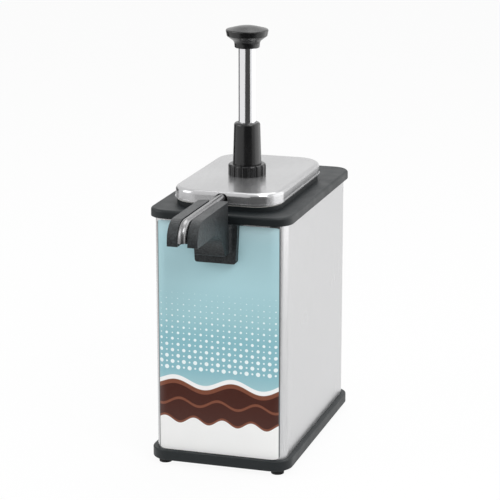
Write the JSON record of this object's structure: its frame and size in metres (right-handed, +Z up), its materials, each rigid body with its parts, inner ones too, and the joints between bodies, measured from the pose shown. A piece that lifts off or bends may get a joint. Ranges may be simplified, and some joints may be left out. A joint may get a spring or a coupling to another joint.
{
  "type": "topping warmer",
  "caption": "Countertop topping warmer: steel body, black cover and tray, lift-off lid with a push pump and a heated nose spout.",
  "frame": {"origin": "on the ground under the middle of the whole warmer, from the spout's tip to the tray's back edge", "axes": "+Z up, -Y to the front where the spout is, +X to the right seen from the front"},
  "size_m": [0.16, 0.384, 0.4751],
  "materials": {
    "black_plastic": "fine-textured moulded",
    "gloss_black": "smooth moulded",
    "black_rubber": "matt",
    "printed_film": "satin printed film",
    "satin_steel": "satin brushed",
    "polished_steel": "polished",
    "zinc_screws": "zinc plated",
    "white_plastic": "moulded",
    "silicone": "matt",
    "silicone_heater": "moulded silicone",
    "sensor_shell": "pressed",
    "cast_aluminium": "cast"
  },
  "bodies": {
    "casing": {"base_tray": "black_plastic", "rubber_feet": "black_rubber", "foot_screws": "zinc_screws", "body_shroud": "satin_steel", "rear_panel": "satin_steel", "rear_panel_screws": "zinc_screws", "front_graphic": "printed_film", "top_cover": "black_plastic", "cover_screws": "zinc_screws", "vessel": "satin_steel", "vessel_gasket": "silicone", "band_heater": "silicone_heater", "thermostat": "sensor_shell", "thermal_cutout": "sensor_shell", "sensor_bracket": "satin_steel", "sensor_studs": "zinc_screws", "sensor_nuts": "zinc_screws", "spout_housing": "black_plastic", "spout_heater": "cast_aluminium", "spout_screws": "zinc_screws", "switch_housing": "black_plastic", "cord_gland": "black_plastic", "gland_nut": "black_plastic", "terminal_block": "white_plastic", "terminal_screws": "zinc_screws"},
    "lid_pump": {"lid": "satin_steel", "lid_gasket": "silicone", "lock_nut": "gloss_black", "guide_sleeve": "gloss_black", "pump_cylinder": "polished_steel", "valve_body": "white_plastic", "valve_seal": "silicone", "valve_cage": "polished_steel", "intake_tube": "polished_steel", "discharge_tube": "polished_steel", "discharge_nut": "polished_steel", "return_spring": "polished_steel"},
    "plunger": {"knob": "gloss_black", "plunger_tube": "polished_steel", "piston": "white_plastic", "piston_seal": "silicone"},
    "inlet_ball": {"inlet_ball": "polished_steel"},
    "outlet_ball": {"outlet_ball": "polished_steel"},
    "switch": {"switch_rocker": "gloss_black"}
  },
  "joints": [
    {"name": "lid_lift", "type": "slide", "parent": "casing", "child": "lid_pump", "axis": [0, 0, 1], "range_m": [0, 0.21]},
    {"name": "plunger_stroke", "type": "slide", "parent": "lid_pump", "child": "plunger", "axis": [0, 0, -1], "range_m": [0, 0.08], "stiffness_N_per_m": 220, "springref_m": -0.02, "deforming": ["return_spring"]},
    {"name": "inlet_check", "type": "slide", "parent": "lid_pump", "child": "inlet_ball", "axis": [0, 0, 1], "range_m": [0, 0.003]},
    {"name": "outlet_check", "type": "slide", "parent": "lid_pump", "child": "outlet_ball", "axis": [0, 0, 1], "range_m": [0, 0.003]},
    {"name": "switch_rock", "type": "hinge", "parent": "casing", "child": "switch", "pos_m": [0.028, 0.1843, 0.061], "axis": [-1, 0, 0], "range_deg": [0, 18]}
  ]
}
